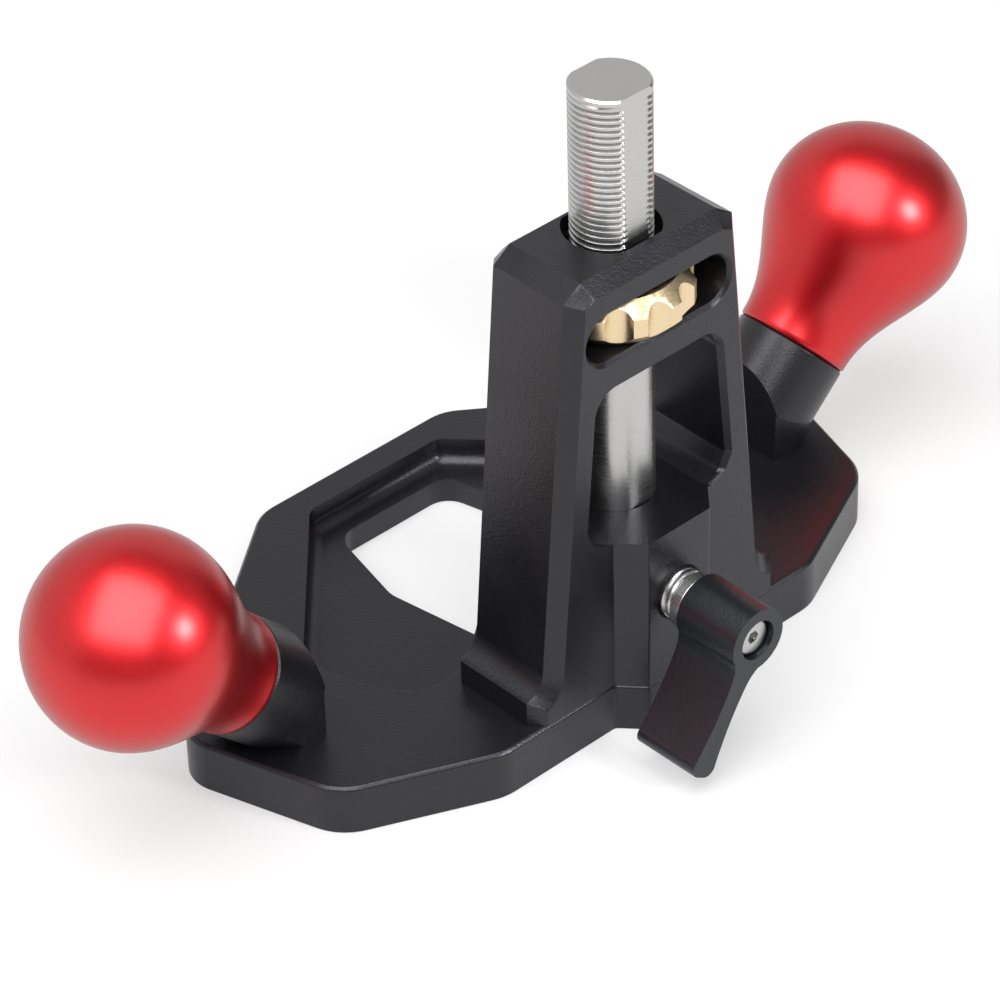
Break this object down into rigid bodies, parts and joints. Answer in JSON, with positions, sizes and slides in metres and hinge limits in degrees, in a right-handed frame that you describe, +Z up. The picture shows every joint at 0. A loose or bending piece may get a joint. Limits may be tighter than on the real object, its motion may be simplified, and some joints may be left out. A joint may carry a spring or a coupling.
{
  "type": "router plane",
  "caption": "Hand router plane: lobed base with an open mouth, a tower carrying a threaded cutter post, thumb nut and clamping lever, and two leaning pear-shaped grips.",
  "frame": {"origin": "middle of the bounding box's underside, on the sole", "axes": "+X along the two grips, -Y towards the lock lever (front), +Y towards the mouth (rear), +Z up along the post"},
  "size_m": [0.1804, 0.0888, 0.1042],
  "materials": {
    "black_anodised": "fine satin black anodising",
    "red_anodised": "satin red anodising",
    "lever_black": "satin black anodising",
    "stainless": "turned and brushed",
    "bright_steel": "ground",
    "tool_steel": "ground and honed",
    "black_steel": "black oxide",
    "brass": "turned, lightly polished"
  },
  "bodies": {
    "base": {"base_plate": "black_anodised", "tower": "black_anodised", "tower_screws": "black_steel", "tower_dowels": "bright_steel", "stem_left": "black_anodised", "stem_right": "black_anodised", "stem_screws": "black_steel", "stem_pins": "bright_steel", "knob_left": "red_anodised", "knob_right": "red_anodised", "knob_studs": "bright_steel"},
    "nut": {"depth_nut": "brass"},
    "post": {"cutter_post": "stainless", "cutter": "tool_steel", "cutter_screw": "black_steel", "cutter_pin": "bright_steel"},
    "pad": {"lock_pad": "brass"},
    "lock_screw": {"lock_stud": "stainless", "lock_collar": "stainless", "cap_screw": "stainless", "lever_spring": "bright_steel"},
    "lever": {"lock_lever": "lever_black", "lever_insert": "bright_steel"}
  },
  "joints": [
    {"name": "nut_turn", "type": "hinge", "parent": "base", "child": "nut", "pos_m": [0, -0.01505, 0.0704], "axis": [0, 0, 1], "range_deg": [-1440.5, 7200.5]},
    {"name": "post_slide", "type": "slide", "parent": "base", "child": "post", "axis": [0, 0, 1], "range_m": [-0.02, 0.004]},
    {"name": "lock_travel", "type": "slide", "parent": "base", "child": "pad", "axis": [0, -1, 0], "range_m": [0, 0.000625]},
    {"name": "lock_turn", "type": "hinge", "parent": "pad", "child": "lock_screw", "pos_m": [0, -0.03065, 0.0225], "axis": [0, -1, 0], "range_deg": [0, 180.1]},
    {"name": "lever_pull", "type": "slide", "parent": "lock_screw", "child": "lever", "axis": [0, -1, 0], "range_m": [0, 0.003], "stiffness_N_per_m": 600, "springref_m": -0.0015, "deforming": ["lever_spring"]}
  ],
  "couplings": [
    {"joint": "nut_turn", "follows": "post_slide", "rad_per_m": -6283.2},
    {"joint": "lock_turn", "follows": "lock_travel", "rad_per_m": 5026.5}
  ]
}
